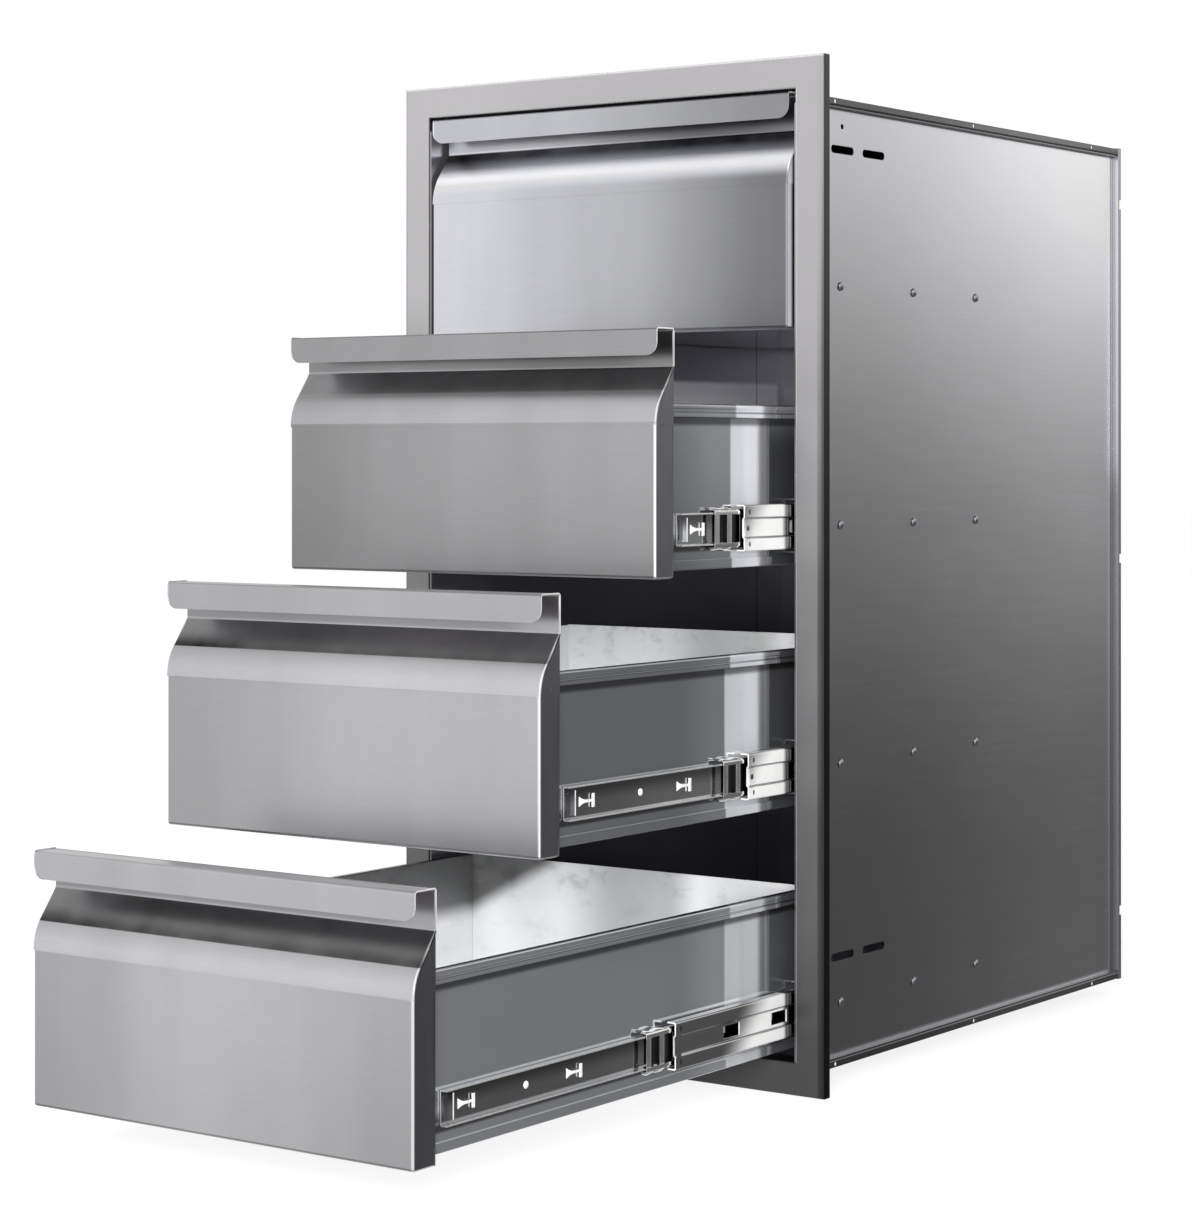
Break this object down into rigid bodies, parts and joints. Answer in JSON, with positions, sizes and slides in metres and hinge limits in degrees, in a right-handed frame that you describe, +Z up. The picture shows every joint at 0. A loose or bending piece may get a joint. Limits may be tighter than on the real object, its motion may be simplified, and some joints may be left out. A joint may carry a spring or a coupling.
{
  "type": "outdoor kitchen drawer unit",
  "caption": "Built-in stainless steel drawer unit for an outdoor kitchen: a flat trim frame, a sheet cabinet and a stack of drawers with folded grip lips on ball-bearing slides.",
  "frame": {"origin": "middle of the bottom hem of the trim frame, on its rear bearing face", "axes": "+X to the right seen from the front, +Y into the island, square to the bearing face, +Z up"},
  "size_m": [0.444, 1.117, 0.87],
  "materials": {
    "front_steel": "brushed along the width",
    "frame_steel": "fine satin",
    "panel_steel": "plain mill finish",
    "liner_steel": "bright rolled sheet",
    "box_steel": "plain rolled sheet",
    "slide_steel": "bright zinc plate",
    "cage_steel": "bright zinc plate"
  },
  "bodies": {
    "cabinet": {"trim_frame": "frame_steel", "side_panel_right": "panel_steel", "side_panel_left": "panel_steel", "top_panel": "panel_steel", "bottom_panel": "panel_steel", "back_panel": "panel_steel", "drawer_1_slide_outer_right": "slide_steel", "drawer_1_slide_outer_left": "slide_steel", "drawer_2_slide_outer_right": "slide_steel", "drawer_2_slide_outer_left": "slide_steel", "drawer_3_slide_outer_right": "slide_steel", "drawer_3_slide_outer_left": "slide_steel", "drawer_4_slide_outer_right": "slide_steel", "drawer_4_slide_outer_left": "slide_steel"},
    "drawer_1": {"drawer_1_front": "front_steel", "drawer_1_box_front": "liner_steel", "drawer_1_box_pan": "liner_steel", "drawer_1_box_side_right": "box_steel", "drawer_1_box_side_left": "box_steel", "drawer_1_slide_inner_right": "slide_steel", "drawer_1_slide_inner_left": "slide_steel"},
    "drawer_2": {"drawer_2_front": "front_steel", "drawer_2_box_front": "liner_steel", "drawer_2_box_pan": "liner_steel", "drawer_2_box_side_right": "box_steel", "drawer_2_box_side_left": "box_steel", "drawer_2_slide_inner_right": "slide_steel", "drawer_2_slide_inner_left": "slide_steel"},
    "drawer_3": {"drawer_3_front": "front_steel", "drawer_3_box_front": "liner_steel", "drawer_3_box_pan": "liner_steel", "drawer_3_box_side_right": "box_steel", "drawer_3_box_side_left": "box_steel", "drawer_3_slide_inner_right": "slide_steel", "drawer_3_slide_inner_left": "slide_steel"},
    "drawer_4": {"drawer_4_front": "front_steel", "drawer_4_box_front": "liner_steel", "drawer_4_box_pan": "liner_steel", "drawer_4_box_side_right": "box_steel", "drawer_4_box_side_left": "box_steel", "drawer_4_slide_inner_right": "slide_steel", "drawer_4_slide_inner_left": "slide_steel"},
    "slide_middle_1": {"drawer_1_slide_middle_right": "slide_steel", "drawer_1_slide_middle_left": "slide_steel"},
    "slide_middle_2": {"drawer_2_slide_middle_right": "slide_steel", "drawer_2_slide_middle_left": "slide_steel"},
    "slide_middle_3": {"drawer_3_slide_middle_right": "slide_steel", "drawer_3_slide_middle_left": "slide_steel"},
    "slide_middle_4": {"drawer_4_slide_middle_right": "slide_steel", "drawer_4_slide_middle_left": "slide_steel"},
    "ball_cages_1": {"drawer_1_ball_cage_right": "cage_steel", "drawer_1_ball_cage_left": "cage_steel"},
    "ball_cages_2": {"drawer_2_ball_cage_right": "cage_steel", "drawer_2_ball_cage_left": "cage_steel"},
    "ball_cages_3": {"drawer_3_ball_cage_right": "cage_steel", "drawer_3_ball_cage_left": "cage_steel"},
    "ball_cages_4": {"drawer_4_ball_cage_right": "cage_steel", "drawer_4_ball_cage_left": "cage_steel"}
  },
  "joints": [
    {"name": "drawer_1_slide", "type": "slide", "parent": "cabinet", "child": "drawer_1", "axis": [0, -1, 0], "range_m": [0, 0.52]},
    {"name": "drawer_2_slide", "type": "slide", "parent": "cabinet", "child": "drawer_2", "axis": [0, -1, 0], "range_m": [-0.197, 0.323]},
    {"name": "drawer_3_slide", "type": "slide", "parent": "cabinet", "child": "drawer_3", "axis": [0, -1, 0], "range_m": [-0.351, 0.169]},
    {"name": "drawer_4_slide", "type": "slide", "parent": "cabinet", "child": "drawer_4", "axis": [0, -1, 0], "range_m": [-0.502, 0.018]},
    {"name": "drawer_1_middle_slide", "type": "slide", "parent": "cabinet", "child": "slide_middle_1", "axis": [0, -1, 0], "range_m": [0, 0.26]},
    {"name": "drawer_1_cages_slide", "type": "slide", "parent": "cabinet", "child": "ball_cages_1", "axis": [0, -1, 0], "range_m": [0, 0.39]},
    {"name": "drawer_2_middle_slide", "type": "slide", "parent": "cabinet", "child": "slide_middle_2", "axis": [0, -1, 0], "range_m": [-0.0985, 0.1615]},
    {"name": "drawer_2_cages_slide", "type": "slide", "parent": "cabinet", "child": "ball_cages_2", "axis": [0, -1, 0], "range_m": [-0.14775, 0.24225]},
    {"name": "drawer_3_middle_slide", "type": "slide", "parent": "cabinet", "child": "slide_middle_3", "axis": [0, -1, 0], "range_m": [-0.1755, 0.0845]},
    {"name": "drawer_3_cages_slide", "type": "slide", "parent": "cabinet", "child": "ball_cages_3", "axis": [0, -1, 0], "range_m": [-0.26325, 0.12675]},
    {"name": "drawer_4_middle_slide", "type": "slide", "parent": "cabinet", "child": "slide_middle_4", "axis": [0, -1, 0], "range_m": [-0.251, 0.009]},
    {"name": "drawer_4_cages_slide", "type": "slide", "parent": "cabinet", "child": "ball_cages_4", "axis": [0, -1, 0], "range_m": [-0.3765, 0.0135]}
  ],
  "couplings": [
    {"joint": "drawer_1_middle_slide", "follows": "drawer_1_slide", "ratio": 0.5},
    {"joint": "drawer_1_cages_slide", "follows": "drawer_1_slide", "ratio": 0.75},
    {"joint": "drawer_2_middle_slide", "follows": "drawer_2_slide", "ratio": 0.5},
    {"joint": "drawer_2_cages_slide", "follows": "drawer_2_slide", "ratio": 0.75},
    {"joint": "drawer_3_middle_slide", "follows": "drawer_3_slide", "ratio": 0.5},
    {"joint": "drawer_3_cages_slide", "follows": "drawer_3_slide", "ratio": 0.75},
    {"joint": "drawer_4_middle_slide", "follows": "drawer_4_slide", "ratio": 0.5},
    {"joint": "drawer_4_cages_slide", "follows": "drawer_4_slide", "ratio": 0.75}
  ]
}
